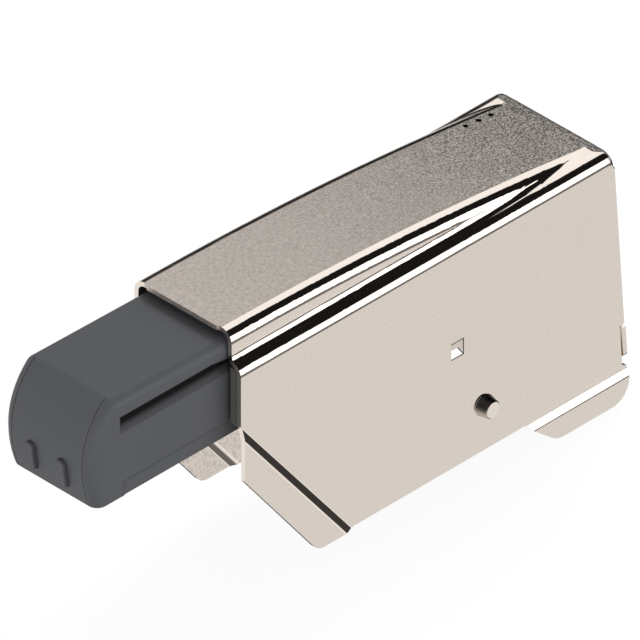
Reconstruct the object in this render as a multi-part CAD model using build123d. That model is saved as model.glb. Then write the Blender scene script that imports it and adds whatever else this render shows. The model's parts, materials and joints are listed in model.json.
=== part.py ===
from build123d import *
import math
import os

os.makedirs("parts", exist_ok=True)

# Frame: X along the length (plunger nose at -X), Y across, Z up.
# X = 0 is the front edge of the side panels, Y = 0 the mid-plane,
# Z = 0 the lower edge of the side panels. All lengths in mm.

# ---------------------------------------------------------------- cover sheet
SHEET = 0.625            # sheet thickness
HALF_W = 9.41            # half width over the side panels
SHOULDER_Z = 31.74       # level of the shoulders
CROWN_RISE = 3.99        # crown above the shoulders at the front
CROWN_FALL = 0.001147    # fall of the crown, per mm squared of length
CROWN_STEP = 1.49        # crown side wall inboard of the side panel
R_CROWN = 1.65           # outer radius, crown edge
R_SHOULDER = 1.625       # outer radius, shoulder edge
R_VALLEY = 1.13          # hollow radius between crown and shoulder
SKIRT_JOIN_Z = 28.0      # level where the upper shell meets the flat panels
REAR_TOP_X = 61.05       # rear face at shoulder level
REAR_LEAN = 0.0795       # rear face runs back this much per mm down
R_REAR = 1.05            # outer radius of the rear bend
LIP_FWD = 0.21           # front lip in the middle of the crown
LIP_HALF = 5.7
SLIT = 0.10              # slit between the rear wall and the side panels
SLIT_TOP = 30.2

# side panel tabs
JOG_OUT = 0.46           # tabs stand this far outside the panels
FRONT_BEND_Z = 23.1      # front bend line: (0, FRONT_BEND_Z) to (FRONT_BEND_X, 0)
FRONT_BEND_X = 17.93
FRONT_JOG_W = 0.838      # width of the front slope, square to the bend line
FRONT_TAB_X = 0.20
FRONT_TAB_Z = 15.58
FRONT_TAB_END_X = 12.13
FRONT_TAB_BOT = -0.07
FRONT_TAB_R = 2.1
REAR_JOG_TOP = -0.15
REAR_JOG_BOT = -0.86
REAR_TAB_BOT = -4.21
REAR_TAB_X = 46.85       # start of the near rear tab
REAR_TAB_FAR_X = 51.6    # start of the far rear tab, which is cut back to a step
FAR_STEP_Z = -1.96
FAR_STEP_X = 54.4
REAR_TAB_END = 63.5
REAR_TAB_R = 3.2
BEND_R = 0.30            # inner radius of the tab bends

# holes
SQ_X, SQ_Z = 35.4, 16.45
SQ_L, SQ_H = 2.10, 2.22
SQ_LAND = 0.18           # straight part of the square hole, bevelled inside
PIN_X, PIN_Z = 39.4, 6.85
PIN_HOLE_R = 1.27
DOTS = [(51.7, 5.5), (53.85, 5.5), (55.95, 5.55)]
DOT_R = 0.25
DOT_DEEP = 0.42

# rear wall ears
EAR_LO, EAR_HI = 1.85, 6.1
R_EAR = 0.4
EAR_OUT = 0.2
WALL_BOT = 1.0

# ---------------------------------------------------------------- plunger
NOSE_HALF = 7.08
NOSE_BOT = 20.72
NOSE_TOP_MOUTH = 34.285  # top at X = 0
NOSE_TOP_SLOPE = -0.0191 # the top falls toward the rear
NOSE_TOP_REAR = 33.5     # top at the rear end
NOSE_REAR = 20.0
NOSE_FRONT = -22.05      # foremost point
NOSE_FRONT_Z = 26.74     # level of the foremost point
R_NOSE_LOW = 16.24       # front, below the foremost point
R_NOSE_UP = 10.25        # front, above the foremost point
R_NOSE_CORNER = 1.41     # top front corner
R_NOSE_TOP = 1.35        # rounding of the side edges
R_NOSE_FOOT = 0.15
SEAM_Y = 5.73            # fine seam lines down the front
SEAM_W = 0.09
SEAM_DEEP = 0.08
GROOVE_X = -17.2
GROOVE_TOP = 32.04
GROOVE_TOP_IN = 31.64
GROOVE_BOT = 29.9        # lower edge, where the rounded lip starts
GROOVE_LIP = 30.75
GROOVE_FLOOR = 30.95
GROOVE_DEEP = 1.7
STRIP_X = -16.5          # lower strip of the sides, set in a little
STRIP_Z = 22.7
STRIP_DEEP = 0.18
STRIP_SLOPE = 0.25       # half height of the sloping edge
RIB_Y = 2.53
RIB_W = 1.27
RIB_LO, RIB_HI = 22.4, 26.37
RIB_OUT = 0.58
RIB_MOAT = 0.12
RIB_MOAT_DEEP = 0.15
TRAVEL = 14.0

# ---------------------------------------------------------------- damper
AX_Z = 27.2
CYL_R = 4.3
CYL_BORE_R = 3.7
CYL_FRONT, CYL_REAR = -6.0, 35.8
CYL_END_T = 1.0
ROD_R = 1.25
ROD_FRONT, ROD_REAR = 23.6, 59.1
PISTON_X0, PISTON_X1 = 25.0, 28.0
SEAL_X0, SEAL_X1 = 29.0, 30.8
GUIDE_X0, GUIDE_X1 = 31.0, 33.4
CAP_X0, CAP_X1 = 33.6, 35.0
SPRING_R = 2.75
SPRING_WIRE = 0.5
SPRING_TURNS = 9
SEAT_X0, SEAT_X1 = 55.3, 55.9
STOP_PIN_X = 16.0
STOP_PIN_R = 0.8

# ---------------------------------------------------------------- carrier
RAIL_IN = 7.25
RAIL_FRONT_IN = 7.67
RAIL_OUT = 8.70
RAIL_LO, RAIL_HI = 23.0, 30.8
RAIL_END = 57.0
BLOCK_X0, BLOCK_X1 = 56.5, 60.2
WALL_X0, WALL_X1 = 35.4, 37.2


def box(x0, x1, y0, y1, z0, z1):
    return Pos((x0 + x1) / 2, (y0 + y1) / 2, (z0 + z1) / 2) * Box(x1 - x0, y1 - y0, z1 - z0)


def cyl_x(r, x0, x1, y=0.0, z=AX_Z):
    return Pos((x0 + x1) / 2, y, z) * Rot(0, 90, 0) * Cylinder(r, x1 - x0)


def cyl_y(r, y0, y1, x, z):
    return Pos(x, (y0 + y1) / 2, z) * Rot(90, 0, 0) * Cylinder(r, y1 - y0)


def prism_xz(points, y0, y1):
    """Solid from a closed outline in X and Z, between two levels of Y."""
    face = make_face(Polyline(*[(x, 0, z) for x, z in points], close=True))
    solid = extrude(face, amount=y1 - y0, dir=(0, 1, 0))
    return Pos(0, y0, 0) * solid


def mirror_y(shape):
    return mirror(shape, about=Plane.XZ)


def save(shape, name):
    solids = shape.solids()
    one = solids[0] if len(solids) == 1 else Compound(children=list(solids))
    one.label = name
    export_step(one, f"parts/{name}.step")
    print(f"{name}: {len(solids)} solid(s), {sum(s.volume for s in solids):.1f} mm3")


# ------------------------------------------------------------ cover, upper shell
def rise(x):
    return CROWN_RISE - CROWN_FALL * x * x


def circles(h):
    """Centres (inboard distance, height) of the crown, valley and shoulder radii."""
    c1 = (CROWN_STEP + R_CROWN, SHOULDER_Z + h - R_CROWN)
    c3 = (R_SHOULDER, SHOULDER_Z - R_SHOULDER)
    s1 = R_CROWN + R_VALLEY
    s3 = R_SHOULDER + R_VALLEY
    fixed_y = CROWN_STEP - R_VALLEY
    fixed_z = c3[1] + math.sqrt(s3 * s3 - (c3[0] - fixed_y) ** 2)
    if c1[1] >= fixed_z:
        return c1, (fixed_y, fixed_z), c3
    # valley circle touching both others
    dx, dz = c1[0] - c3[0], c1[1] - c3[1]
    d = math.hypot(dx, dz)
    a = (s3 * s3 - s1 * s1 + d * d) / (2 * d)
    k = math.sqrt(max(s3 * s3 - a * a, 0.0))
    mx, mz = c3[0] + a * dx / d, c3[1] + a * dz / d
    cand = [(mx - k * dz / d, mz + k * dx / d), (mx + k * dz / d, mz - k * dx / d)]
    c2 = max(cand, key=lambda c: c[1])
    if c2[0] > c3[0]:
        # flat shoulder between the shoulder radius and the valley
        c2z = SHOULDER_Z + R_VALLEY
        c2 = (c1[0] - math.sqrt(max(s1 * s1 - (c2z - c1[1]) ** 2, 0.0)), c2z)
    return c1, c2, c3


def arc_pts(c, r, a0, a1, sign):
    """Start, middle and end of an arc; angles from +Z toward the outside."""
    out = []
    for a in (a0, (a0 + a1) / 2, a1):
        n = (-math.sin(a), math.cos(a))
        out.append((c[0] + sign * r * n[0], c[1] + sign * r * n[1]))
    return out


def half_profile(x_h, depth):
    """Point list of one half of the section, outside to middle, at an inward depth."""
    c1, c2, c3 = circles(x_h)
    eps = 0.001
    r1, r2, r3 = R_CROWN - depth - eps, R_VALLEY + depth - eps, R_SHOULDER - depth - eps

    def common(d, s, outer):
        dd = d[0] ** 2 + d[1] ** 2
        ln = math.sqrt(max(dd - s * s, 0.0))
        if outer:
            return math.atan2((d[1] * ln - d[0] * s) / dd, (d[1] * s + d[0] * ln) / dd)
        return math.atan2((d[1] * ln + d[0] * s) / dd, (d[0] * ln - d[1] * s) / dd)

    a3 = common((c2[0] - c3[0], c2[1] - c3[1]), r2 + r3, True)
    a1 = common((c1[0] - c2[0], c1[1] - c2[1]), r1 + r2, False)
    s = arc_pts(c3, r3, math.radians(90), a3, 1)
    v = arc_pts(c2, r2, a3, a1, -1)
    c = arc_pts(c1, r1, a1, 0.0, 1)
    return s, v, c


def section(x, h, depth, z_low):
    s, v, c = half_profile(h, depth)

    def near(p):
        return (x, -HALF_W + p[0], p[1])

    def far(p):
        return (x, HALF_W - p[0], p[1])

    edges = []
    start = (s[0][0], z_low)
    for side in (near, far):
        run = [
            Line(side(start), side(s[0])),
            ThreePointArc(side(s[0]), side(s[1]), side(s[2])),
            Line(side(s[2]), side(v[0])),
            ThreePointArc(side(v[0]), side(v[1]), side(v[2])),
            Line(side(v[2]), side(c[0])),
            ThreePointArc(side(c[0]), side(c[1]), side(c[2])),
        ]
        if side is near:
            edges += run
            edges.append(Line(near(c[2]), far(c[2])))
        else:
            back = [
                ThreePointArc(side(c[2]), side(c[1]), side(c[0])),
                Line(side(c[0]), side(v[2])),
                ThreePointArc(side(v[2]), side(v[1]), side(v[0])),
                Line(side(v[0]), side(s[2])),
                ThreePointArc(side(s[2]), side(s[1]), side(s[0])),
                Line(side(s[0]), side(start)),
            ]
            edges += back
    edges.append(Line(far(start), near(start)))
    return make_face(Wire(edges))


def rear_x(z, depth=0.0):
    k = math.sqrt(1 + REAR_LEAN ** 2)
    return REAR_TOP_X + REAR_LEAN * (SHOULDER_Z - z) - depth * k


def crown_body(depth, z_low, x_front, x_back, drop=False):
    xs_a = [x_front, 7.0, 14.0, 21.0, 28.0, 33.0, 36.2]
    xs_b = [36.2, 38.0, 40.5, 43.0, 45.5, 48.0, 50.5, 53.0, 55.0]
    xs_c = [55.0, 56.0, 57.0, 57.8, 58.4, 58.75]
    parts = []
    for xs in (xs_a, xs_b, xs_c):
        parts.append(loft([section(x, rise(x), depth, z_low) for x in xs]))
    body = parts[0] + parts[1] + parts[2]
    h = rise(xs_c[-1])
    last = section(xs_c[-1], h, depth, z_low)
    if not drop:
        return body + extrude(last, amount=x_back - xs_c[-1], dir=(1, 0, 0))
    # the whole top, shoulders included, drops over the rear bend
    cz = SHOULDER_Z + h - R_REAR
    cx = rear_x(cz) - R_REAR * math.sqrt(1 + REAR_LEAN ** 2)
    body = body + extrude(last, amount=cx - xs_c[-1], dir=(1, 0, 0))
    rows = []
    for k in (0.0, 0.18, 0.36, 0.53, 0.68, 0.80, 0.89, 0.95, 0.985):
        fall = R_REAR - R_REAR * math.sqrt(1 - k * k)
        rows.append(Pos(0, 0, -fall) * section(cx + k * R_REAR, h, depth, z_low + fall))
    body = body + loft(rows)
    return body + extrude(rows[-1], amount=x_back - cx - 0.985 * R_REAR, dir=(1, 0, 0))


outer = crown_body(0.0, SKIRT_JOIN_Z, 0.0, 63.0, drop=True)
inner = crown_body(SHEET, SKIRT_JOIN_Z - 1.0, -0.5, 63.5)
shell = outer - inner


# --------------------------------------------------------- rear bend and wall
def behind(depth, lo=-8.0, hi=40.0):
    """Everything behind the leaning rear face moved forward by depth."""
    return prism_xz([(rear_x(lo, depth), lo), (80, lo), (80, hi), (rear_x(hi, depth), hi)], -20, 20)


def rear_corner(radius, depth, y_half):
    """The material outside a bend of this radius at the upper rear edge."""
    lean = math.atan(REAR_LEAN)
    top = SHOULDER_Z + rise(58.75) - depth
    cz = top - radius
    # centre: radius below the top and radius in front of the leaning face
    cx = rear_x(cz, depth) - radius * math.sqrt(1 + REAR_LEAN ** 2)
    ang = -lean
    tx, tz = cx + radius * math.cos(ang), cz + radius * math.sin(ang)
    corner = prism_xz([(cx, cz), (cx, top + 2), (tx + 3, top + 2), (tx + 3, tz), (tx, tz)], -y_half, y_half)
    return corner - cyl_y(radius, -y_half - 1, y_half + 1, cx, cz)


WALL_HALF = HALF_W - SHEET - SLIT
shell = shell - behind(0.0)
# slit that parts the rear wall from the side panels, below the bend
for sy in (-1, 1):
    y0, y1 = sorted((sy * WALL_HALF, sy * (WALL_HALF + SLIT)))
    shell = shell - box(60.0, 66.0, y0, y1, SKIRT_JOIN_Z - 2, SLIT_TOP)

wall_block = box(59.0, 66.0, -WALL_HALF, WALL_HALF, WALL_BOT, SHOULDER_Z + 1) - behind(0.0)
under = outer + box(57.0, 66.0, -HALF_W, HALF_W, WALL_BOT - 1, SKIRT_JOIN_Z + 0.5)
wall_block = wall_block & under
hollow = box(50.0, 66.0, -WALL_HALF - 1, WALL_HALF + 1, WALL_BOT - 1, SHOULDER_Z - SHEET) - behind(SHEET)
hollow = hollow - rear_corner(R_REAR - SHEET, SHEET, WALL_HALF + 2)
rear_wall = wall_block - hollow
rear_wall = rear_wall - box(50.0, 59.9, -20, 20, 0, SHOULDER_Z - SHEET - 0.01)
rear_wall = rear_wall - box(50.0, 59.6, -20, 20, 0, SHOULDER_Z + 1)

# ears that reach sideways through the notches of the side panels
EAR_HALF = HALF_W + EAR_OUT
ears = (box(58.0, 66.0, -EAR_HALF, EAR_HALF, EAR_LO, EAR_HI) - behind(0.0))
ears = ears - (box(50.0, 66.0, -20, 20, EAR_LO - 1, EAR_HI + 1) - behind(SHEET))
ears = fillet([e for e in ears.edges() if abs(e.center().Z - EAR_LO) < 1e-3
               and abs(abs(e.center().Y) - EAR_HALF) < 1e-3], R_EAR)
rear_wall = rear_wall + ears


# ---------------------------------------------------------------- side panels
def jog_section(top_len, out, drop, low_len):
    """Closed section of the stepped sheet. First number: outward distance from the
    panel's outer face. Second: distance below the bend line."""
    th = math.atan2(out, drop)
    k = SHEET * math.tan(th / 2)
    outer_pts = [(0.0, -top_len), (0.0, 0.0), (out, drop), (out, drop + low_len)]
    inner_pts = [(-SHEET, -top_len), (-SHEET, k), (out - SHEET, drop + k), (out - SHEET, drop + low_len)]
    return outer_pts, inner_pts


def jog_solid(origin, along, down, length, top_len, out, drop, low_len):
    """Stepped sheet swept along a bend line that lies in the near panel's outer face."""
    outer_pts, inner_pts = jog_section(top_len, out, drop, low_len)
    pts = outer_pts + inner_pts[::-1]
    plane = Plane(origin=(origin[0], -HALF_W, origin[1]), x_dir=(0, -1, 0),
                  z_dir=Vector(0, -1, 0).cross(Vector(down[0], 0, down[1])))
    face = make_face(Polyline(*[(a, b) for a, b in pts], close=True))
    bends = [(outer_pts[1], BEND_R), (inner_pts[1], BEND_R + SHEET),
             (outer_pts[2], BEND_R + SHEET), (inner_pts[2], BEND_R)]
    for q, r in bends:
        face = fillet([v for v in face.vertices() if abs(v.X - q[0]) + abs(v.Y - q[1]) < 1e-6], r)
    solid = extrude(plane * face, amount=length, dir=(along[0], 0, along[1]))
    return solid


bend_len = math.hypot(FRONT_BEND_X, FRONT_BEND_Z)
along = (FRONT_BEND_X / bend_len, -FRONT_BEND_Z / bend_len)
down = (-FRONT_BEND_Z / bend_len, -FRONT_BEND_X / bend_len)
front_jog = jog_solid((-6 * along[0], FRONT_BEND_Z - 6 * along[1]), along, down, bend_len + 16,
                      1.0, JOG_OUT, FRONT_JOG_W, 20.0)
rear_jog = jog_solid((40.0, REAR_JOG_TOP), (1, 0), (0, -1), 30.0,
                     1.0, JOG_OUT, REAR_JOG_TOP - REAR_JOG_BOT, 8.0)


def rounded_outline(points, radii, y0=-20.0, y1=0.0):
    """Prism of an outline in X and Z whose corners carry the given radii."""
    face = make_face(Polyline(*[(x, z) for x, z in points], close=True))
    for (x, z), r in zip(points, radii):
        if r > 0:
            vs = [v for v in face.vertices() if abs(v.X - x) + abs(v.Y - z) < 1e-5]
            face = fillet(vs, r)
    solid = extrude(Plane((0, 0, 0), x_dir=(1, 0, 0), z_dir=(0, -1, 0)) * face, amount=-(y1 - y0))
    return Pos(0, y0, 0) * solid


slope = FRONT_BEND_Z / FRONT_BEND_X
jog_dx = FRONT_JOG_W / (FRONT_BEND_Z / bend_len)     # X step of the slope's lower line at Z = 0
up = 0.35                                            # overlap of tabs above the bend lines
front_tab = rounded_outline(
    [(FRONT_TAB_X, FRONT_BEND_Z - slope * FRONT_TAB_X + up / (FRONT_BEND_X / bend_len)),
     (FRONT_TAB_X, FRONT_TAB_Z), (FRONT_TAB_END_X, FRONT_TAB_BOT),
     (FRONT_BEND_X + (up - FRONT_TAB_BOT * 0.6) / (FRONT_BEND_Z / bend_len), FRONT_TAB_BOT)],
    [0, 0.5, FRONT_TAB_R, 0])
front_part = front_jog & front_tab

near_tab = rounded_outline(
    [(REAR_TAB_X, REAR_JOG_TOP + 0.3), (REAR_TAB_X, REAR_JOG_TOP), (REAR_TAB_X + 0.6, REAR_JOG_BOT),
     (51.57, REAR_TAB_BOT), (REAR_TAB_END, REAR_TAB_BOT), (REAR_TAB_END, REAR_JOG_TOP + 0.3)],
    [0, 0, 0, REAR_TAB_R, 2.8, 0])
far_tab = rounded_outline(
    [(REAR_TAB_FAR_X, REAR_JOG_TOP + 0.3), (REAR_TAB_FAR_X, REAR_JOG_TOP), (REAR_TAB_FAR_X + 0.3, FAR_STEP_Z),
     (FAR_STEP_X, FAR_STEP_Z), (56.05, REAR_TAB_BOT), (REAR_TAB_END, REAR_TAB_BOT),
     (REAR_TAB_END, REAR_JOG_TOP + 0.3)],
    [0, 0, 0.3, 0, 0.8, 2.8, 0])
near_part = rear_jog & near_tab
far_part = rear_jog & far_tab


def panel(tab_x):
    """Flat near panel; the tab starts at tab_x."""
    flat = prism_xz(
        [(0.0, SKIRT_JOIN_Z), (0.0, FRONT_BEND_Z), (FRONT_BEND_X, 0.0), (tab_x, 0.0),
         (tab_x, REAR_JOG_TOP), (63.22, REAR_JOG_TOP), (rear_x(0.25) - 0.05, 0.25),
         (62.72, 0.65), (62.45, 6.15), (rear_x(6.6), 6.6), (rear_x(SKIRT_JOIN_Z), SKIRT_JOIN_Z)],
        -HALF_W, -HALF_W + SHEET)
    return flat


def trimmed(part):
    return part - (box(61, 70, -20, 0, -1.2, 1.2) & behind(-0.12))


near_side = panel(REAR_TAB_X) + front_part + near_part
far_side = mirror_y(panel(REAR_TAB_FAR_X) + front_part + far_part)

# seat of the formed pins and the square hole, both sides
side_cuts = (cyl_y(PIN_HOLE_R, -20, 20, PIN_X, PIN_Z)
             + box(SQ_X - SQ_L / 2, SQ_X + SQ_L / 2, -20, 20, SQ_Z - SQ_H / 2, SQ_Z + SQ_H / 2))


def sq_rect(y, grow):
    a, b = SQ_L / 2 + grow, SQ_H / 2 + grow
    return make_face(Polyline((SQ_X - a, y, SQ_Z - b), (SQ_X + a, y, SQ_Z - b),
                              (SQ_X + a, y, SQ_Z + b), (SQ_X - a, y, SQ_Z + b), close=True))


bevel = SHEET - SQ_LAND
bevel_near = loft([sq_rect(-HALF_W + SQ_LAND, 0.0), sq_rect(-HALF_W + SHEET + 0.1, bevel + 0.1)])
side_cuts = side_cuts + bevel_near + mirror_y(bevel_near)

lip = box(-LIP_FWD, 0.6, -LIP_HALF, LIP_HALF, SHOULDER_Z + CROWN_RISE - SHEET, SHOULDER_Z + CROWN_RISE)

housing = shell + near_side + far_side + rear_wall + lip
housing = housing - side_cuts
for dx, dy in DOTS:
    z = SHOULDER_Z + max(rise(dx), 0.0)
    housing = housing - Pos(dx, dy, z) * Cylinder(DOT_R, 2 * DOT_DEEP)
save(housing, "housing")

# ---------------------------------------------------------------- formed pins
pin_profile = [
    (0.0, -SHEET - 0.9), (1.95, -SHEET - 0.9), (2.1, -SHEET - 0.75), (2.1, -SHEET - 0.02),
    (1.22, -SHEET - 0.02), (1.22, 0.0), (1.13, 0.08), (1.13, 0.2), (1.3, 0.27), (1.45, 0.4),
    (1.43, 0.6), (1.36, 0.85), (1.22, 1.55), (1.16, 1.8), (1.04, 1.92), (0.0, 1.92),
]
pin_face = make_face(Polyline(*[(r, w) for r, w in pin_profile], close=True))
pin = revolve(pin_face, Axis.Y)
# profile height is the outward distance from the panel's outer face
rivet_near = Pos(PIN_X, -HALF_W, PIN_Z) * Rot(0, 0, 180) * pin
rivet_far = Pos(PIN_X, HALF_W, PIN_Z) * pin
save(rivet_near, "rivet_near")
save(rivet_far, "rivet_far")

# ---------------------------------------------------------------- plunger
low_c = (NOSE_FRONT + R_NOSE_LOW, NOSE_FRONT_Z)
up_c = (NOSE_FRONT + R_NOSE_UP, NOSE_FRONT_Z)
top_a = math.atan(NOSE_TOP_SLOPE)
top_n = (-math.sin(top_a), math.cos(top_a))
top_d = (math.cos(top_a), math.sin(top_a))


def nose_outline(inset=0.0):
    """Side outline of the nose, moved inward by inset, as a wire in the mid-plane."""
    r_low, r_up, r_cor = R_NOSE_LOW - inset, R_NOSE_UP - inset, R_NOSE_CORNER - inset
    front = NOSE_FRONT + inset
    bot = NOSE_BOT + inset
    low_x = low_c[0] - math.sqrt(r_low ** 2 - (NOSE_FRONT_Z - bot) ** 2)
    mid = math.asin((NOSE_FRONT_Z - bot) / r_low) / 2
    low_mid = (low_c[0] - r_low * math.cos(mid), NOSE_FRONT_Z - r_low * math.sin(mid))
    # centre of the corner arc: on a line below the top, touching the upper front arc
    px, pz = -R_NOSE_CORNER * top_n[0], NOSE_TOP_MOUTH - R_NOSE_CORNER * top_n[1]
    wx, wz = px - up_c[0], pz - up_c[1]
    half_b = wx * top_d[0] + wz * top_d[1]
    c0 = wx * wx + wz * wz - (R_NOSE_UP - R_NOSE_CORNER) ** 2
    t = -half_b - math.sqrt(half_b ** 2 - c0)
    cor = (px + t * top_d[0], pz + t * top_d[1])
    kx, kz = cor[0] - up_c[0], cor[1] - up_c[1]
    kn = math.hypot(kx, kz)
    joint = (up_c[0] + r_up * kx / kn, up_c[1] + r_up * kz / kn)
    joint_a = math.atan2(kz, -kx)
    top_end = (cor[0] + r_cor * top_n[0], cor[1] + r_cor * top_n[1])
    cor_mid_a = (joint_a + math.pi / 2 + top_a) / 2
    cor_mid = (cor[0] - r_cor * math.cos(cor_mid_a), cor[1] + r_cor * math.sin(cor_mid_a))
    up_mid = (up_c[0] - r_up * math.cos(joint_a / 2), up_c[1] + r_up * math.sin(joint_a / 2))
    mouth = (0.0, NOSE_TOP_MOUTH - inset)

    def p(q):
        return (q[0], 0, q[1])

    wire = Wire([
        Line(p((low_x, bot)), p((NOSE_REAR, bot))),
        Line(p((NOSE_REAR, bot)), p((NOSE_REAR, NOSE_TOP_REAR - inset))),
        Line(p((NOSE_REAR, NOSE_TOP_REAR - inset)), p(mouth)),
        Line(p(mouth), p(top_end)),
        ThreePointArc(p(top_end), p(cor_mid), p(joint)),
        ThreePointArc(p(joint), p(up_mid), p((front, NOSE_FRONT_Z))),
        ThreePointArc(p((front, NOSE_FRONT_Z)), p(low_mid), p((low_x, bot))),
    ])
    return wire, low_x, cor


side, low_x, corner_c = nose_outline()
body = Pos(0, -NOSE_HALF, 0) * extrude(make_face(side), amount=2 * NOSE_HALF, dir=(0, 1, 0))

# rounding round the whole side outline, except the underside and the rear face
rim = []
for e in body.edges():
    c = e.center()
    if abs(abs(c.Y) - NOSE_HALF) < 1e-4:
        bb = e.bounding_box()
        if bb.max.Z > NOSE_BOT + 0.5 and bb.min.X < NOSE_REAR - 0.5:
            rim.append(e)
body = fillet(rim, R_NOSE_TOP)
foot = [e for e in body.edges().filter_by(GeomType.LINE)
        if abs(e.center().Z - NOSE_BOT) < 1e-4 and abs(e.center().X - low_x) < 1e-3]
body = fillet(foot, R_NOSE_FOOT)

# fine seam lines down the front, one on each side
core = Pos(0, -NOSE_HALF, 0) * extrude(make_face(nose_outline(SEAM_DEEP)[0]), amount=2 * NOSE_HALF, dir=(0, 1, 0))
for sy in (-1, 1):
    y0, y1 = sorted((sy * (SEAM_Y - SEAM_W / 2), sy * (SEAM_Y + SEAM_W / 2)))
    body = body - (box(-24, corner_c[0] - 0.35, y0, y1, NOSE_BOT - 1, 36) - core)


def yz_prism(points, x0, x1):
    """Solid from a closed outline in Y and Z, between two levels of X."""
    face = make_face(Polyline(*[(x0, y, z) for y, z in points], close=True))
    return extrude(face, amount=x1 - x0, dir=(1, 0, 0))


# side grooves and lower strips
for sy in (-1, 1):
    def at(d, z):
        return (GROOVE_X, sy * (NOSE_HALF - d), z)

    lip_d = 0.45
    lip_r = (lip_d ** 2 + (GROOVE_LIP - GROOVE_BOT) ** 2) / (2 * lip_d)
    lip_a = math.asin((GROOVE_LIP - GROOVE_BOT) / lip_r) / 2
    mid = at(lip_r - lip_r * math.cos(lip_a), GROOVE_BOT + lip_r * math.sin(lip_a))
    hollow_wire = Wire([
        Line(at(-1, GROOVE_BOT), at(0, GROOVE_BOT)),
        ThreePointArc(at(0, GROOVE_BOT), mid, at(lip_d, GROOVE_LIP)),
        Line(at(lip_d, GROOVE_LIP), at(GROOVE_DEEP, GROOVE_FLOOR)),
        Line(at(GROOVE_DEEP, GROOVE_FLOOR), at(GROOVE_DEEP, GROOVE_TOP_IN)),
        Line(at(GROOVE_DEEP, GROOVE_TOP_IN), at(-1, GROOVE_TOP_IN)),
        Line(at(-1, GROOVE_TOP_IN), at(-1, GROOVE_BOT)),
    ])
    groove = extrude(make_face(hollow_wire), amount=NOSE_REAR + 1 - GROOVE_X, dir=(1, 0, 0))
    y0, y1 = sorted((sy * (NOSE_HALF - GROOVE_DEEP), sy * (NOSE_HALF + 1)))
    groove = groove + prism_xz([(GROOVE_X, GROOVE_TOP_IN - 0.1), (GROOVE_X, GROOVE_TOP), (-2.5, GROOVE_TOP),
                                (0.2, GROOVE_TOP_IN), (0.2, GROOVE_TOP_IN - 0.1)], y0, y1)
    body = body - groove
    a, b, o = sy * NOSE_HALF, sy * (NOSE_HALF - STRIP_DEEP), sy * (NOSE_HALF + 1)
    low = yz_prism([(o, STRIP_Z + STRIP_SLOPE), (a, STRIP_Z + STRIP_SLOPE), (b, STRIP_Z - STRIP_SLOPE),
                    (b, NOSE_BOT - 1), (o, NOSE_BOT - 1)], STRIP_X - 1, NOSE_REAR + 1)
    face = make_face(Polyline(*[(x, y, NOSE_BOT - 1) for x, y in (
        (STRIP_X - STRIP_SLOPE, o), (STRIP_X - STRIP_SLOPE, a), (STRIP_X + STRIP_SLOPE, b),
        (NOSE_REAR + 1, b), (NOSE_REAR + 1, o))], close=True))
    front_slope = extrude(face, amount=4, dir=(0, 0, 1))
    body = body - (low & front_slope)

# ribs on the nose, each in a fine moat
for sy in (-1, 1):
    pill = Plane((-30, sy * RIB_Y, (RIB_LO + RIB_HI) / 2), x_dir=(0, -1, 0), z_dir=(-1, 0, 0))
    post = extrude(pill * SlotOverall(RIB_HI - RIB_LO, RIB_W, rotation=90), amount=-12)
    ring = extrude(pill * SlotOverall(RIB_HI - RIB_LO + 2 * RIB_MOAT, RIB_W + 2 * RIB_MOAT, rotation=90), amount=-12)
    moat = (ring - post) - cyl_y(R_NOSE_LOW - RIB_MOAT_DEEP, -8, 8, low_c[0], low_c[1])
    body = body - moat
    bump = post & cyl_y(R_NOSE_LOW + RIB_OUT, -8, 8, low_c[0], low_c[1])
    rim = []
    for e in bump.edges():
        p = e @ 0.5
        if abs(math.hypot(p.X - low_c[0], p.Z - low_c[1]) - R_NOSE_LOW - RIB_OUT) < 2e-3:
            rim.append(e)
    bump = fillet(rim, 0.12)
    body = body + bump

# bore for the damper and holes for the stop pins
body = body - cyl_x(CYL_R + 0.05, CYL_FRONT - 0.15, NOSE_REAR + 1)
for sy in (-1, 1):
    y0, y1 = sorted((sy * 4.85, sy * 9))
    body = body - cyl_y(STOP_PIN_R + 0.02, y0, y1, STOP_PIN_X, AX_Z)
save(body, "plunger")

for name, sy in (("stop_pin_near", -1), ("stop_pin_far", 1)):
    y0, y1 = sorted((sy * 4.95, sy * 8.45))
    pin_body = cyl_y(STOP_PIN_R, y0, y1, STOP_PIN_X, AX_Z)
    pin_body = chamfer(pin_body.edges().filter_by(GeomType.CIRCLE), 0.15)
    save(pin_body, name)

# pad on the rear face of the plunger
pad = cyl_x(6.1, NOSE_REAR + 0.02, NOSE_REAR + 1.2) - cyl_x(CYL_R + 0.1, NOSE_REAR - 1, NOSE_REAR + 2)
pad = fillet(pad.edges().filter_by(GeomType.CIRCLE).group_by(Axis.X)[-1].sort_by(SortBy.LENGTH)[-1:], 0.4)
save(pad, "bumper")

# ---------------------------------------------------------------- damper
cylinder = cyl_x(CYL_R, CYL_FRONT, CYL_REAR) - cyl_x(CYL_BORE_R, CYL_FRONT + CYL_END_T, CYL_REAR + 1)
cylinder = fillet(cylinder.edges().filter_by(GeomType.CIRCLE).group_by(Axis.X)[0], 0.8)
lip_ring = cyl_x(CYL_R, CYL_REAR - 0.6, CYL_REAR) - cyl_x(3.2, CYL_REAR - 1, CYL_REAR + 1)
cylinder = cylinder + lip_ring
outer_rear = [e for e in cylinder.edges().filter_by(GeomType.CIRCLE)
              if abs(e.center().X - CYL_REAR) < 1e-4 and abs(e.radius - CYL_R) < 1e-4]
cylinder = fillet(outer_rear, 0.45)
save(cylinder, "damper_cylinder")

foam = cyl_x(CYL_BORE_R - 0.03, CYL_FRONT + CYL_END_T + 0.05, CYL_FRONT + CYL_END_T + 5.0)
save(foam, "compensation_foam")

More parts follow.
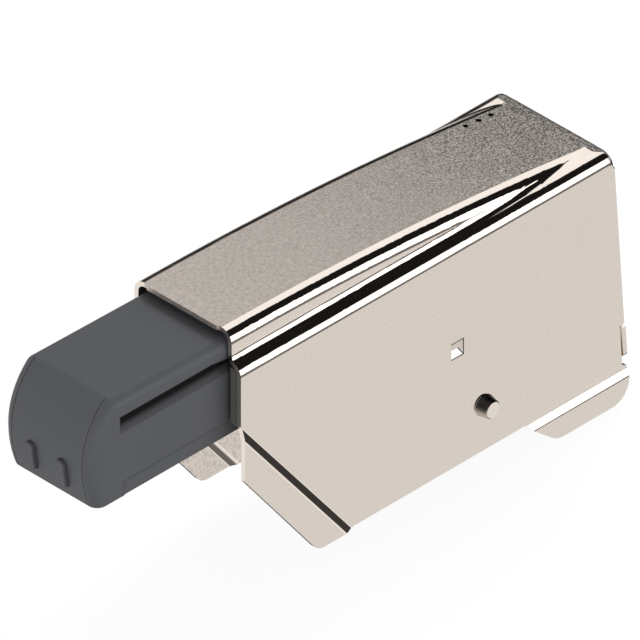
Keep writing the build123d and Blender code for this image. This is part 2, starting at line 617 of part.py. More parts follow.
end_cap = cyl_x(CYL_BORE_R - 0.02, CAP_X0, CAP_X1) - cyl_x(ROD_R + 0.05, CAP_X0 - 1, CAP_X1 + 1)
end_cap = end_cap - cyl_x(2.1, CAP_X0 - 0.5, CAP_X0 + 0.5)
save(end_cap, "end_cap")

rod_guide = cyl_x(CYL_BORE_R - 0.02, GUIDE_X0, GUIDE_X1) - cyl_x(ROD_R + 0.02, GUIDE_X0 - 1, GUIDE_X1 + 1)
rod_guide = rod_guide - (cyl_x(CYL_BORE_R + 1, GUIDE_X0 + 0.9, GUIDE_X1 - 0.9) - cyl_x(CYL_BORE_R - 0.35, GUIDE_X0, GUIDE_X1))
save(rod_guide, "rod_guide")

seal = cyl_x(CYL_BORE_R - 0.02, SEAL_X0, SEAL_X1) - cyl_x(ROD_R + 0.02, SEAL_X0 - 1, SEAL_X1 + 1)
groove = cyl_x(CYL_BORE_R - 0.6, SEAL_X0 - 0.5, SEAL_X0 + 1.1) - cyl_x(ROD_R + 0.55, SEAL_X0 - 1, SEAL_X0 + 2)
seal = seal - groove
save(seal, "rod_seal")

piston = cyl_x(CYL_BORE_R - 0.06, PISTON_X0, PISTON_X1) - cyl_x(0.93, PISTON_X0 - 1, PISTON_X1 + 1)
piston = piston - (cyl_x(CYL_BORE_R + 1, PISTON_X0 + 1.0, PISTON_X0 + 2.0) - cyl_x(CYL_BORE_R - 0.75, PISTON_X0, PISTON_X1))
for k in range(4):
    a = math.radians(45 + 90 * k)
    piston = piston - cyl_x(0.28, PISTON_X0 - 1, PISTON_X1 + 1, 2.1 * math.cos(a), AX_Z + 2.1 * math.sin(a))
save(piston, "piston")
ring = cyl_x(CYL_BORE_R - 0.02, PISTON_X0 + 1.03, PISTON_X0 + 1.97) - cyl_x(CYL_BORE_R - 0.72, PISTON_X0, PISTON_X1)
save(ring, "piston_ring")

rod = (cyl_x(0.9, ROD_FRONT, PISTON_X1 + 0.02) + cyl_x(ROD_R, PISTON_X1 + 0.02, ROD_REAR))
rod = rod - (cyl_x(1.5, PISTON_X0 - 0.72, PISTON_X0 - 0.22) - cyl_x(0.62, PISTON_X0 - 1, PISTON_X0))
rod = chamfer([e for e in rod.edges().filter_by(GeomType.CIRCLE) if abs(e.center().X - ROD_FRONT) < 1e-4], 0.2)
rod = fillet([e for e in rod.edges().filter_by(GeomType.CIRCLE) if abs(e.center().X - ROD_REAR) < 1e-4], 0.4)
save(rod, "piston_rod")

clip = cyl_x(1.75, PISTON_X0 - 0.68, PISTON_X0 - 0.26) - cyl_x(0.66, PISTON_X0 - 1, PISTON_X0)
clip = clip - box(PISTON_X0 - 1, PISTON_X0, -0.55, 0.55, AX_Z, AX_Z + 3)
save(clip, "piston_clip")

spring_len = SEAT_X0 - CYL_REAR - 0.04
path_len = spring_len - SPRING_WIRE
helix = Helix(pitch=path_len / SPRING_TURNS, height=path_len, radius=SPRING_R)
wire_face = Plane(origin=helix @ 0, z_dir=helix % 0) * Circle(SPRING_WIRE / 2)
spring = sweep(wire_face, path=helix, is_frenet=True)
spring = Pos(CYL_REAR + 0.02 + SPRING_WIRE / 2, 0, AX_Z) * Rot(0, 90, 0) * spring
save(spring, "return_spring")

seat = cyl_x(3.8, SEAT_X0, SEAT_X1) - cyl_x(ROD_R + 0.06, SEAT_X0 - 1, SEAT_X1 + 1)
seat = chamfer(seat.edges().filter_by(GeomType.CIRCLE), 0.1)
save(seat, "spring_seat")

rod_seat = cyl_x(3.6, SEAT_X1 + 0.02, BLOCK_X0 - 0.02) + cyl_x(2.95, BLOCK_X0 - 0.03, 59.8)
rod_seat = rod_seat - cyl_x(ROD_R + 0.02, SEAT_X1 - 1, ROD_REAR + 0.02)
save(rod_seat, "rod_seat")

# ---------------------------------------------------------------- carrier
corner_y, corner_z = HALF_W - R_SHOULDER, SHOULDER_Z - R_SHOULDER
carrier = None
for sy in (-1, 1):
    def side_face(a_in):
        pts = [(sy * a_in, RAIL_LO), (sy * RAIL_OUT, RAIL_LO), (sy * RAIL_OUT, RAIL_HI), (sy * a_in, RAIL_HI)]
        f = make_face(Polyline(*[(y, z) for y, z in pts], close=True))
        vs = [v for v in f.vertices() if abs(v.X - sy * RAIL_OUT) < 1e-6 and abs(v.Y - RAIL_HI) < 1e-6]
        return fillet(vs, 0.85)

    yz = Plane((0, 0, 0), x_dir=(0, 1, 0), z_dir=(1, 0, 0))
    rail = extrude(Plane((0.02, 0, 0), x_dir=(0, 1, 0), z_dir=(1, 0, 0)) * side_face(RAIL_FRONT_IN), amount=1.2)
    rail = rail + extrude(Plane((1.2, 0, 0), x_dir=(0, 1, 0), z_dir=(1, 0, 0)) * side_face(RAIL_IN), amount=RAIL_END - 1.2)
    # guide tongue that runs in the plunger's side groove
    tip = NOSE_HALF - 0.9
    tongue = make_face(Polyline(*[(sy * y, z) for y, z in (
        (tip, 31.40), (7.50, 31.40), (7.75, 31.05), (7.75, 30.5), (NOSE_HALF + 0.19, 30.5),
        (NOSE_HALF + 0.19, 31.02), (tip, 31.02))], close=True))
    rail = rail + extrude(Plane((1.2, 0, 0), x_dir=(0, 1, 0), z_dir=(1, 0, 0)) * tongue, amount=33.0)
    y0, y1 = sorted((sy * 7.0, sy * 9.0))
    r = STOP_PIN_R + 0.05
    slot = (box(STOP_PIN_X, STOP_PIN_X + TRAVEL, y0, y1, AX_Z - r, AX_Z + r)
            + cyl_y(r, y0, y1, STOP_PIN_X, AX_Z) + cyl_y(r, y0, y1, STOP_PIN_X + TRAVEL, AX_Z))
    rail = rail - slot
    carrier = rail if carrier is None else carrier + rail

cross = box(WALL_X0, WALL_X1, -7.6, 7.6, RAIL_LO - 0.6, 30.8)
cross = fillet(cross.edges().filter_by(Axis.X).group_by(Axis.Z)[0], 0.8)
carrier = carrier + cross
block = box(BLOCK_X0, BLOCK_X1, -7.6, 7.6, RAIL_LO - 0.6, 30.8)
block = fillet(block.edges().filter_by(Axis.X).group_by(Axis.Z)[0], 0.8)
carrier = carrier + block
carrier = carrier - cyl_x(CYL_R + 0.15, WALL_X0 - 1, WALL_X1 + 1)
carrier = carrier - cyl_x(3.0, BLOCK_X0 - 1, 59.85)
save(carrier, "guide_carrier")
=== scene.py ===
import json
import math

import bpy
from mathutils import Matrix, Vector


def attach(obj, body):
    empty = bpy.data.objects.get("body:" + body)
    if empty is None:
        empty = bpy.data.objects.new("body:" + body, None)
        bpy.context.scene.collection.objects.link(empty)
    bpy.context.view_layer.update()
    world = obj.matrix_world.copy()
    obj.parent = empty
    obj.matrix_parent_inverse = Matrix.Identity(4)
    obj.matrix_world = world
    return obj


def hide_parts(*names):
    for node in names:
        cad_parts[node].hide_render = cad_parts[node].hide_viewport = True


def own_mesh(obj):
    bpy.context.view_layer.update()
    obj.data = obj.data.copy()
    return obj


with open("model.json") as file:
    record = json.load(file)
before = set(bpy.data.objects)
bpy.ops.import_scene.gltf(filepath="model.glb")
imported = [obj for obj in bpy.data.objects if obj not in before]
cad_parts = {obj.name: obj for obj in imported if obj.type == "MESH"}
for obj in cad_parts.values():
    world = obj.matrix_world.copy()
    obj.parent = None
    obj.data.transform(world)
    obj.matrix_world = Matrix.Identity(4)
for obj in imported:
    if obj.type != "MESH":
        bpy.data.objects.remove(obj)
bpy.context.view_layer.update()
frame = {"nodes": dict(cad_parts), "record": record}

MM = 0.001
nodes = frame["nodes"]
scene = bpy.context.scene


# --------------------------------------------------------------------- node helpers
class Mat:
    """A small builder for procedural materials."""

    def __init__(self, name):
        self.mat = bpy.data.materials.new(name)
        self.mat.use_nodes = True
        self.nt = self.mat.node_tree
        self.nt.nodes.clear()
        self.out = self.nt.nodes.new("ShaderNodeOutputMaterial")
        self.bsdf = self.nt.nodes.new("ShaderNodeBsdfPrincipled")
        self.nt.links.new(self.bsdf.outputs[0], self.out.inputs["Surface"])
        self.coord = self.nt.nodes.new("ShaderNodeTexCoord")
        self.geo = self.nt.nodes.new("ShaderNodeNewGeometry")

    def new(self, kind, **props):
        n = self.nt.nodes.new(kind)
        for k, v in props.items():
            setattr(n, k, v)
        return n

    def link(self, a, b):
        self.nt.links.new(a, b)

    def set(self, **values):
        for k, v in values.items():
            self.bsdf.inputs[k.replace("_", " ")].default_value = v

    def mapped(self, scale):
        m = self.new("ShaderNodeMapping")
        m.inputs["Scale"].default_value = scale
        self.link(self.coord.outputs["Object"], m.inputs["Vector"])
        return m.outputs[0]

    def noise(self, scale, detail=4.0, rough=0.55, vec=None, dist=0.0):
        n = self.new("ShaderNodeTexNoise")
        n.inputs["Scale"].default_value = scale
        n.inputs["Detail"].default_value = detail
        n.inputs["Roughness"].default_value = rough
        n.inputs["Distortion"].default_value = dist
        self.link(vec if vec is not None else self.coord.outputs["Object"], n.inputs["Vector"])
        return n.outputs["Fac"]

    def math(self, op, a, b=None, c=None, clamp=False):
        n = self.new("ShaderNodeMath", operation=op, use_clamp=clamp)
        for i, v in enumerate((a, b, c)):
            if v is None:
                continue
            if isinstance(v, (int, float)):
                n.inputs[i].default_value = v
            else:
                self.link(v, n.inputs[i])
        return n.outputs[0]

    def ramp(self, fac, stops, mode="LINEAR"):
        n = self.new("ShaderNodeValToRGB")
        n.color_ramp.interpolation = mode
        el = n.color_ramp.elements
        while len(el) < len(stops):
            el.new(0.5)
        for e, (p, c) in zip(el, stops):
            e.position = p
            e.color = (c, c, c, 1) if isinstance(c, (int, float)) else (*c, 1)
        self.link(fac, n.inputs[0])
        return n.outputs[0]

    def mixc(self, fac, a, b):
        n = self.new("ShaderNodeMix", data_type="RGBA")
        n.inputs["Factor"].default_value = 0.5
        if isinstance(fac, (int, float)):
            n.inputs["Factor"].default_value = fac
        else:
            self.link(fac, n.inputs["Factor"])
        for key, v in (("A", a), ("B", b)):
            s = [i for i in n.inputs if i.name == key and i.type == "RGBA"][0]
            if isinstance(v, tuple):
                s.default_value = (*v, 1)
            else:
                self.link(v, s)
        return [o for o in n.outputs if o.type == "RGBA"][0]

    def bump(self, height, strength, distance, chain=None):
        n = self.new("ShaderNodeBump")
        n.inputs["Strength"].default_value = strength
        n.inputs["Distance"].default_value = distance
        self.link(height, n.inputs["Height"])
        if chain is not None:
            self.link(chain, n.inputs["Normal"])
        return n.outputs[0]


def assign(node, mat):
    o = nodes[node]
    o.data.materials.clear()
    o.data.materials.append(mat)


# --------------------------------------------------------------------- nickel plate
def nickel_sheet():
    m = Mat("nickel_sheet")
    xyz = m.new("ShaderNodeSeparateXYZ")
    m.link(m.coord.outputs["Object"], xyz.inputs[0])
    nrm = m.new("ShaderNodeSeparateXYZ")
    m.link(m.coord.outputs["Normal"], nrm.inputs[0])
    ax, ay = xyz.outputs[0], m.math("ABSOLUTE", xyz.outputs[1])
    ny = m.math("ABSOLUTE", nrm.outputs[1])

    def both(*f):
        r = f[0]
        for g in f[1:]:
            r = m.math("MULTIPLY", r, g)
        return r

    # the level top: the crown between its radii, and the full width behind the shoulders
    level = both(m.math("LESS_THAN", ny, 0.05), m.math("GREATER_THAN", nrm.outputs[2], -0.2),
                 m.math("GREATER_THAN", xyz.outputs[2], 30.9 * MM))
    inner = m.math("LESS_THAN", ay, 6.27 * MM)
    # behind the crown's end the texture widens on a slant toward the rear corners
    side_gap = m.math("SUBTRACT", 9.41 * MM, ay)
    slant = m.math("MULTIPLY", m.math("MAXIMUM", m.math("SUBTRACT", 1.7 * MM, side_gap), 0.0), 1.15)
    behind = m.math("GREATER_THAN", m.math("SUBTRACT", ax, slant), 59.35 * MM)
    near_level = both(m.math("LESS_THAN", ny, 0.35), m.math("GREATER_THAN", nrm.outputs[2], -0.2),
                      m.math("GREATER_THAN", xyz.outputs[2], 30.9 * MM))
    top_mask = m.math("MAXIMUM", both(level, inner), both(near_level, behind))
    flat_end = m.math("GREATER_THAN", ax, 58.75 * MM)
    panel = m.math("GREATER_THAN", ny, 0.9995)
    # faces that look toward the inside of the cover
    hidden = both(panel, m.math("LESS_THAN", m.math("MULTIPLY", xyz.outputs[1], nrm.outputs[1]), 0.0))
    rear = m.ramp(m.math("DIVIDE", ax, 63 * MM), [(0.0, 0.0), (0.30, 0.10), (0.60, 0.50), (0.76, 0.88), (0.88, 1.0)])
    fine = m.noise(5200, 2.0, 0.5)
    grain = m.noise(4300, 3.0, 0.62)
    mottle = m.noise(2300, 5.0, 0.70, dist=0.4)
    blotch = m.noise(260, 4.0, 0.6, dist=0.6)
    # plated side: nearly even, with a faint cloud
    warm = m.mixc(m.ramp(blotch, [(0.35, 0.0), (0.7, 1.0)]), (0.900, 0.812, 0.732), (0.890, 0.802, 0.722))
    brown = m.mixc(m.ramp(mottle, [(0.36, 0.0), (0.60, 1.0)]), (0.66, 0.57, 0.50), (0.92, 0.84, 0.77))
    warm = m.mixc(hidden, warm, brown)
    # rolled top: soft mottling at the front, a coarse dark grain at the rear
    front_top = m.mixc(m.ramp(mottle, [(0.36, 0.0), (0.60, 1.0)]), (0.54, 0.485, 0.44), (0.74, 0.67, 0.615))
    rear_top = m.mixc(m.ramp(grain, [(0.42, 0.0), (0.57, 1.0)]), (0.155, 0.141, 0.129), (0.785, 0.716, 0.655))
    top = m.mixc(rear, front_top, rear_top)
    # faint brown clouds in it
    cloud = m.math("MULTIPLY", rear, m.ramp(blotch, [(0.42, 0.0), (0.66, 0.20)]))
    top = m.mixc(cloud, top, (0.36, 0.325, 0.285))
    top = m.mixc(m.math("MULTIPLY", flat_end, 0.34), top, (0.10, 0.092, 0.085))
    base = m.mixc(top_mask, warm, top)
    # painted shade: dark rings round the pricked dots and a dark rear reveal of the square hole are put into the
    # colour
    dark = None
    for dx, dy in ((51.7, 5.5), (53.85, 5.5), (55.95, 5.55)):
        ex = m.math("SUBTRACT", ax, dx * MM)
        ey = m.math("SUBTRACT", xyz.outputs[1], dy * MM)
        d2 = m.math("ADD", m.math("MULTIPLY", ex, ex), m.math("MULTIPLY", ey, ey))
        one = both(m.math("LESS_THAN", d2, (0.36 * MM) ** 2), m.math("GREATER_THAN", xyz.outputs[2], 31 * MM))
        dark = one if dark is None else m.math("ADD", dark, one)
    # painted shade in the rear reveal of the square hole
    hole_reveal_shade = both(m.math("LESS_THAN", m.math("ABSOLUTE", m.math("SUBTRACT", ax, 35.4 * MM)), 1.6 * MM),
                   m.math("LESS_THAN", m.math("ABSOLUTE", m.math("SUBTRACT", xyz.outputs[2], 16.45 * MM)), 1.7 * MM),
                   m.math("LESS_THAN", nrm.outputs[0], -0.5))
    # painted shade: a dark line along the hole's upper edge
    painted_edge_shade = both(m.math("LESS_THAN", m.math("ABSOLUTE", m.math("SUBTRACT", ax, 35.4 * MM)), 1.06 * MM),
                  m.math("LESS_THAN", m.math("ABSOLUTE", m.math("SUBTRACT", xyz.outputs[2], 17.63 * MM)), 0.085 * MM),
                  m.math("SUBTRACT", 1.0, hidden))
    dark = m.math("ADD", dark, m.math("MULTIPLY", painted_edge_shade, 0.84))
    dark = m.math("MINIMUM", m.math("ADD", dark, m.math("MULTIPLY", hole_reveal_shade, 0.93)), 1.0)
    base = m.mixc(dark, base, (0.004, 0.004, 0.004))
    m.link(base, m.bsdf.inputs["Base Color"])
    r_panel = m.math("MULTIPLY_ADD", fine, 0.03, 0.26)
    r_top = m.math("MULTIPLY_ADD", mottle, 0.16, 0.38)
    r = m.math("MULTIPLY_ADD", panel, m.math("SUBTRACT", r_panel, 0.06), 0.06)
    r = m.math("ADD", m.math("MULTIPLY", r, m.math("SUBTRACT", 1.0, top_mask)),
               m.math("MULTIPLY", r_top, top_mask))
    # the rear wall is duller than the sides
    wall = m.math("GREATER_THAN", nrm.outputs[0], 0.9)
    r = m.math("MAXIMUM", r, m.math("MULTIPLY", wall, 0.60))
    m.link(r, m.bsdf.inputs["Roughness"])
    m.set(Metallic=1.0)
    h_top = both(grain, rear, top_mask)
    h_panel = m.math("MULTIPLY", both(fine, panel), 0.007)
    m.link(m.bump(m.math("ADD", h_top, h_panel), 0.55, 0.00010), m.bsdf.inputs["Normal"])
    return m.mat


def plain_metal(name, colour, rough, grain_scale, bump=0.2, stretch=(1, 1, 1)):
    m = Mat(name)
    vec = m.mapped(stretch)
    n = m.noise(grain_scale, 4.0, 0.6, vec)
    c2 = tuple(v * 0.86 for v in colour)
    m.link(m.mixc(m.ramp(n, [(0.3, 0.0), (0.7, 1.0)]), colour, c2), m.bsdf.inputs["Base Color"])
    m.link(m.math("MULTIPLY_ADD", n, 0.12, rough), m.bsdf.inputs["Roughness"])
    m.link(m.bump(n, bump, 0.00003), m.bsdf.inputs["Normal"])
    m.set(Metallic=1.0)
    return m.mat


def formed_pin():
    """Plated pin: its turned side carries a painted reflection, dark above and light below; its end face is like the
    panel.
    """
    m = Mat("nickel_pin")
    nrm = m.new("ShaderNodeSeparateXYZ")
    m.link(m.coord.outputs["Normal"], nrm.inputs[0])
    n = m.noise(1400, 4.0, 0.6)
    plate = m.mixc(m.ramp(n, [(0.3, 0.0), (0.7, 1.0)]), (0.80, 0.728, 0.662), (0.765, 0.694, 0.632))
    # painted reflection: the turned side is coloured dark where it faces up and light beige where it faces down
    side = m.math("LESS_THAN", m.math("ABSOLUTE", nrm.outputs[1]), 0.93)
    upper = m.ramp(m.math("MULTIPLY_ADD", nrm.outputs[2], 0.5, 0.5), [(0.28, 0.0), (0.50, 0.55), (0.64, 1.0)])
    painted_pin_reflection = m.mixc(upper, (0.82, 0.75, 0.68), (0.045, 0.042, 0.040))
    m.link(m.mixc(side, plate, painted_pin_reflection), m.bsdf.inputs["Base Color"])
    m.link(m.math("MULTIPLY_ADD", n, 0.06, 0.10), m.bsdf.inputs["Roughness"])
    m.link(m.bump(n, 0.06, 0.00003), m.bsdf.inputs["Normal"])
    m.set(Metallic=1.0)
    return m.mat


def plastic(name, colour, rough, grain=5200, strength=0.35, vary=0.10, spec=0.5, groove=False):
    m = Mat(name)
    fine = m.noise(grain, 2.0, 0.55)
    broad = m.noise(180, 3.0, 0.5)
    lo = tuple(v * (1 - vary) for v in colour)
    hi = tuple(v * (1 + vary) for v in colour)
    mix = m.math("MULTIPLY_ADD", fine, 0.6, m.math("MULTIPLY", broad, 0.4))
    base = m.mixc(m.ramp(mix, [(0.35, 0.0), (0.65, 1.0)]), lo, hi)
    if groove:
        # painted shade: the side grooves of the plunger are darkened in the colour, deepest under the top edge
        xyz = m.new("ShaderNodeSeparateXYZ")
        m.link(m.coord.outputs["Object"], xyz.inputs[0])
        deep = m.math("SUBTRACT", 7.08 * MM, m.math("ABSOLUTE", xyz.outputs[1]))
        within = m.math("MULTIPLY", m.math("GREATER_THAN", xyz.outputs[2], 29.85 * MM),
                        m.math("LESS_THAN", xyz.outputs[2], 32.1 * MM))
        within = m.math("MULTIPLY", within, m.math("GREATER_THAN", xyz.outputs[0], -17.3 * MM))
        groove_shade = m.ramp(m.math("DIVIDE", m.math("ADD", deep, 0.02 * MM), 1.0 * MM),
                      [(0.012, 0.0), (0.028, 0.76), (0.10, 0.82), (0.24, 0.85), (0.44, 0.88)])
        # painted shade fading out on the lip below the groove
        lip_shade = m.math("DIVIDE", m.math("SUBTRACT", xyz.outputs[2], 29.52 * MM), 0.36 * MM)
        lip_shade = m.math("MULTIPLY", m.ramp(lip_shade, [(0.0, 0.0), (0.35, 0.16), (0.7, 0.48), (1.0, 0.76)]),
                     m.math("MULTIPLY", m.math("LESS_THAN", xyz.outputs[2], 29.9 * MM),
                            m.math("GREATER_THAN", xyz.outputs[0], -17.3 * MM)))
        # painted shade colour mixed into the groove and the lip below it
        base = m.mixc(m.math("MAXIMUM", m.math("MULTIPLY", groove_shade, within), lip_shade), base, (0.028, 0.029, 0.032))
    m.link(base, m.bsdf.inputs["Base Color"])
    m.link(m.math("MULTIPLY_ADD", fine, 0.12, rough - 0.06), m.bsdf.inputs["Roughness"])
    m.link(m.bump(fine, strength, 0.00004), m.bsdf.inputs["Normal"])
    m.set(Specular_IOR_Level=spec)
    return m.mat


MATS = {
    "nickel_sheet": nickel_sheet(),
    "nickel_pin": formed_pin(),
    "grey_plastic": plastic("grey_plastic", (0.0965, 0.1005, 0.1081), 0.50, strength=0.12, vary=0.03, spec=0.35, groove=True),
    "dark_plastic": plastic("dark_plastic", (0.118, 0.116, 0.112), 0.48, strength=0.15, spec=0.35),
    "white_plastic": plastic("white_plastic", (0.72, 0.70, 0.65), 0.40, vary=0.04),
    "cylinder_metal": plain_metal("cylinder_metal", (0.80, 0.80, 0.81), 0.22, 700, stretch=(0.1, 1, 1)),
    "rod_steel": plain_metal("rod_steel", (0.72, 0.72, 0.73), 0.12, 900, 0.1),
    "zinc_steel": plain_metal("zinc_steel", (0.70, 0.71, 0.73), 0.24, 800),
    "spring_steel": plain_metal("spring_steel", (0.42, 0.42, 0.44), 0.28, 1400),
    "black_rubber": plastic("black_rubber", (0.025, 0.025, 0.026), 0.62, 2600),
    "grey_foam": plastic("grey_foam", (0.20, 0.20, 0.21), 0.85, 1500, 0.9, 0.25),
}
for sub in frame["record"]["subparts"]:
    assign(sub["node"], MATS[sub["material_slot"]])


# --------------------------------------------------------------------- spring
def coil_spring():
    """The return spring, a coil with closed ends, fixed to the cover."""
    x0, x1, zc = 35.82 * MM, 55.26 * MM, 27.2 * MM
    ring, wire, turns, steps, sides = 2.75 * MM, 0.25 * MM, 10.0, 48, 12
    n = int(turns * steps)
    shut = 0.9 / turns
    gap = 2 * wire * 1.03 * 0.9
    a, b = x0 + wire, x1 - wire
    line = []
    for i in range(n + 1):
        t = i / n
        if t < shut:
            x = a + gap * t / shut
        elif t > 1 - shut:
            x = b - gap * (1 - t) / shut
        else:
            x = a + gap + (b - a - 2 * gap) * (t - shut) / (1 - 2 * shut)
        w = 2 * math.pi * turns * t
        line.append(Vector((x, ring * math.cos(w), zc + ring * math.sin(w))))
    verts, faces = [], []
    for i, q in enumerate(line):
        along = (line[min(i + 1, n)] - line[max(i - 1, 0)]).normalized()
        out = Vector((0, q.y, q.z - zc)).normalized()
        side = along.cross(out).normalized()
        out = side.cross(along).normalized()
        for k in range(sides):
            g = 2 * math.pi * k / sides
            verts.append(q + wire * (math.cos(g) * out + math.sin(g) * side))
    for i in range(n):
        for k in range(sides):
            k2 = (k + 1) % sides
            faces.append((i * sides + k, i * sides + k2, (i + 1) * sides + k2, (i + 1) * sides + k))
    faces.append(tuple(range(sides)))
    faces.append(tuple(reversed(range(n * sides, (n + 1) * sides))))
    me = bpy.data.meshes.new("return_spring_coil")
    me.from_pydata(verts, [], faces)
    me.validate()
    for f in me.polygons:
        f.use_smooth = len(f.vertices) == 4
    o = bpy.data.objects.new("return_spring_coil", me)
    scene.collection.objects.link(o)
    me.materials.append(MATS["spring_steel"])
    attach(o, "cover")
    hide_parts("return_spring")
    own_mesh(o)


coil_spring()

# the plated pins aren't mirrored in the side panels, which have only a soft sheen
for pin in ("rivet_near", "rivet_far"):
    nodes[pin].visible_glossy = False


# --------------------------------------------------------------------- world
def build_world():
    w = bpy.data.worlds.new("studio")
    scene.world = w
    w.use_nodes = True
    nt = w.node_tree
    nt.nodes.clear()

    def new(kind, **p):
        n = nt.nodes.new(kind)
        for k, v in p.items():
            setattr(n, k, v)
        return n

    def mth(op, a, b=None, clamp=False):
        n = new("ShaderNodeMath", operation=op, use_clamp=clamp)
        for i, v in enumerate((a, b)):
            if v is None:
                continue
            if isinstance(v, (int, float)):
                n.inputs[i].default_value = v
            else:
                nt.links.new(v, n.inputs[i])
        return n.outputs[0]

    def ramp(fac, stops):
        n = new("ShaderNodeValToRGB")
        el = n.color_ramp.elements
        while len(el) < len(stops):
            el.new(0.5)
        for e, (p, c) in zip(el, stops):
            e.position = p
            e.color = (*c, 1) if isinstance(c, tuple) else (c, c, c, 1)
        nt.links.new(fac, n.inputs[0])
        return n.outputs[0]

    tc = new("ShaderNodeTexCoord")
    s = new("ShaderNodeSeparateXYZ")
    nt.links.new(tc.outputs["Generated"], s.inputs[0])
    x, y, z = s.outputs
    theta = mth("ARCTAN2", z, mth("MULTIPLY", y, -1.0))
    t = mth("ADD", mth("DIVIDE", theta, 2 * math.pi), 0.5)

    def p(deg):
        return deg / 360 + 0.5

    def blend(fac, a, b):
        n = new("ShaderNodeMix", data_type="RGBA")
        nt.links.new(fac, n.inputs["Factor"])
        ab = [i for i in n.inputs if i.type == "RGBA"]
        nt.links.new(a, ab[0])
        nt.links.new(b, ab[1])
        return [o for o in n.outputs if o.type == "RGBA"][0]

    # What the metal mirrors: strips of studio light and dark along the part. The angle runs
    # round the long axis: 0 toward -Y, 90 up, 180 toward +Y, -90 down.
    # ramp values are a quarter of the real ones, because a ramp stops at one
    q = 0.25
    lit = ramp(t, [
        (p(-180), 0.10 * q), (p(-174), 0.35 * q), (p(-164), 0.40 * q), (p(-156), 0.90 * q),
        (p(-134), 0.90 * q), (p(-130), 0.08 * q), (p(-110), 0.07 * q),
        (p(-66), 0.14 * q), (p(-57), 0.72 * q), (p(-52), 0.94 * q), (p(-38.5), 0.94 * q),
        (p(-36.5), 0.18 * q), (p(-22), 0.18 * q), (p(-20), 1.9 * q), (p(24), 1.9 * q),
        (p(26), 0.010 * q), (p(79), 0.010 * q), (p(82), 1.05 * q), (p(128), 1.05 * q),
        (p(137), 1.00 * q), (p(141), 0.70 * q), (p(145), 0.34 * q), (p(150), 0.07 * q),
        (p(160), 0.02 * q), (p(180), 0.02 * q)])
    far_end = ramp(t, [
        (p(-180), 0.16 * q), (p(-140), 0.04 * q), (p(-25), 0.045 * q), (p(-15), 0.6 * q),
        (p(20), 0.6 * q), (p(26), 0.010 * q), (p(80), 0.012 * q), (p(84), 0.16 * q),
        (p(140), 0.20 * q), (p(180), 0.16 * q)])
    open_side = ramp(t, [
        (p(-180), 0.80 * q), (p(-150), 0.88 * q), (p(-120), 0.88 * q), (p(-80), 0.62 * q),
        (p(-38), 0.72 * q), (p(-20), 1.2 * q), (p(22), 1.2 * q), (p(30), 0.42 * q),
        (p(76), 0.42 * q), (p(84), 1.0 * q), (p(128), 1.0 * q), (p(180), 0.80 * q)])
    half = mth("ADD", mth("MULTIPLY", x, 0.5), 0.5)
    upper = mth("GREATER_THAN", theta, math.radians(81))
    # the light overhead fades toward the far end; the strips at the side end abruptly
    s_up = ramp(half, [(0.900, 0.0), (0.93, 1.0)])
    s_side = ramp(half, [(0.875, 0.0), (0.90, 1.0)])
    end_fac = mth("ADD", mth("MULTIPLY", s_up, upper),
                  mth("MULTIPLY", s_side, mth("SUBTRACT", 1.0, upper)))
    strips = blend(end_fac, lit, far_end)
    strips = blend(ramp(half, [(0.42, 0.0), (0.56, 1.0)]), open_side, strips)
    # What lights the plastic: a low soft wall of light round the front and near side
    wall = ramp(mth("ADD", mth("MULTIPLY", z, 0.5), 0.5), [
        (0.0, 0.03), (0.32, 0.08), (0.44, 0.37), (0.55, 0.56), (0.64, 0.35), (0.75, 0.10),
        (0.88, 0.05), (1.0, 0.05)])
    # a little more of it on the side than in front
    turn = mth("ADD", mth("MULTIPLY", mth("SUBTRACT", x, y), 0.085), 1.0)
    tint = new("ShaderNodeCombineXYZ")
    for i in range(3):
        nt.links.new(turn, tint.inputs[i])
    scaled = new("ShaderNodeVectorMath", operation="MULTIPLY")
    nt.links.new(wall, scaled.inputs[0])
    nt.links.new(tint.outputs[0], scaled.inputs[1])
    wall = scaled.outputs[0]
    path = new("ShaderNodeLightPath")
    mixed = blend(path.outputs["Is Diffuse Ray"], strips, wall)
    bg = new("ShaderNodeBackground")
    nt.links.new(mixed, bg.inputs[0])
    bg.inputs[1].default_value = 4.0
    # the backdrop itself is plain white
    plain = new("ShaderNodeBackground")
    plain.inputs[0].default_value = (1, 1, 1, 1)
    plain.inputs[1].default_value = 1.0
    pick = new("ShaderNodeMixShader")
    nt.links.new(path.outputs["Is Camera Ray"], pick.inputs[0])
    nt.links.new(bg.outputs[0], pick.inputs[1])
    nt.links.new(plain.outputs[0], pick.inputs[2])
    out = new("ShaderNodeOutputWorld")
    nt.links.new(pick.outputs[0], out.inputs[0])


build_world()


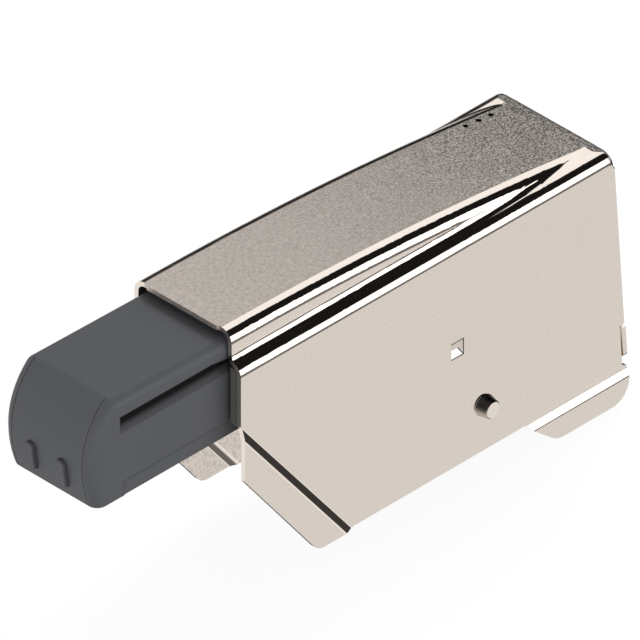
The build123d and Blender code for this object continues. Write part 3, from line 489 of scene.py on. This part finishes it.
# --------------------------------------------------------------------- floor
def make_floor():
    me = bpy.data.meshes.new("floor")
    e, z = 30.0, -4.6 * MM
    me.from_pydata([(-e, -e, z), (e, -e, z), (e, e, z), (-e, e, z)], [], [(0, 1, 2, 3)])
    o = bpy.data.objects.new("floor", me)
    scene.collection.objects.link(o)
    m = bpy.data.materials.new("floor")
    m.use_nodes = True
    nt = m.node_tree
    nt.nodes.clear()
    out = nt.nodes.new("ShaderNodeOutputMaterial")
    dif = nt.nodes.new("ShaderNodeBsdfDiffuse")
    dif.inputs[0].default_value = (0.10, 0.10, 0.10, 1)
    emi = nt.nodes.new("ShaderNodeEmission")
    emi.inputs[0].default_value = (1, 1, 1, 1)
    emi.inputs[1].default_value = 0.93
    add = nt.nodes.new("ShaderNodeAddShader")
    nt.links.new(dif.outputs[0], add.inputs[0])
    nt.links.new(emi.outputs[0], add.inputs[1])
    # seen from below, the floor is clear, so the underside of the part can be looked at
    clear = nt.nodes.new("ShaderNodeBsdfTransparent")
    geo = nt.nodes.new("ShaderNodeNewGeometry")
    side = nt.nodes.new("ShaderNodeMixShader")
    nt.links.new(geo.outputs["Backfacing"], side.inputs[0])
    nt.links.new(add.outputs[0], side.inputs[1])
    nt.links.new(clear.outputs[0], side.inputs[2])
    nt.links.new(side.outputs[0], out.inputs[0])
    me.materials.append(m)
    o.visible_glossy = False
    o.visible_diffuse = False
    return o


make_floor()


# --------------------------------------------------------------------- lights
def area(name, loc, target, size, power, colour=(1, 1, 1)):
    d = bpy.data.lights.new(name, "AREA")
    d.shape = "DISK"
    d.size = size
    d.energy = power
    d.color = colour
    o = bpy.data.objects.new(name, d)
    scene.collection.objects.link(o)
    o.location = loc
    o.rotation_euler = (Vector(target) - Vector(loc)).to_track_quat("-Z", "Y").to_euler()
    o.visible_glossy = False
    return o


area("key", (0.46, 0.18, 0.56), (0.0, 0, 0.02), 0.34, 2.45)


# --------------------------------------------------------------------- camera
cam = bpy.data.cameras.new("camera")
cam.type = "PERSP"
cam.sensor_width = 36.0
cam.lens = 1600.0
cam.clip_start = 0.5
cam.clip_end = 12.0
cam_o = bpy.data.objects.new("camera", cam)
scene.collection.objects.link(cam_o)
right = Vector((0.70622481, -0.70798724, 0.00076256))
up = Vector((0.40717475, 0.40704182, 0.8176342))
back = Vector((-0.57918497, -0.57712306, 0.57573756))
rot = Matrix((right, up, back)).transposed()
cam_o.matrix_world = Matrix.Translation((-1.88085773, -1.89636641, 1.91433311)) @ rot.to_4x4()
scene.camera = cam_o

scene.view_settings.view_transform = "Standard"
scene.view_settings.look = "None"
scene.view_settings.exposure = 0.0
scene.view_settings.gamma = 1.0
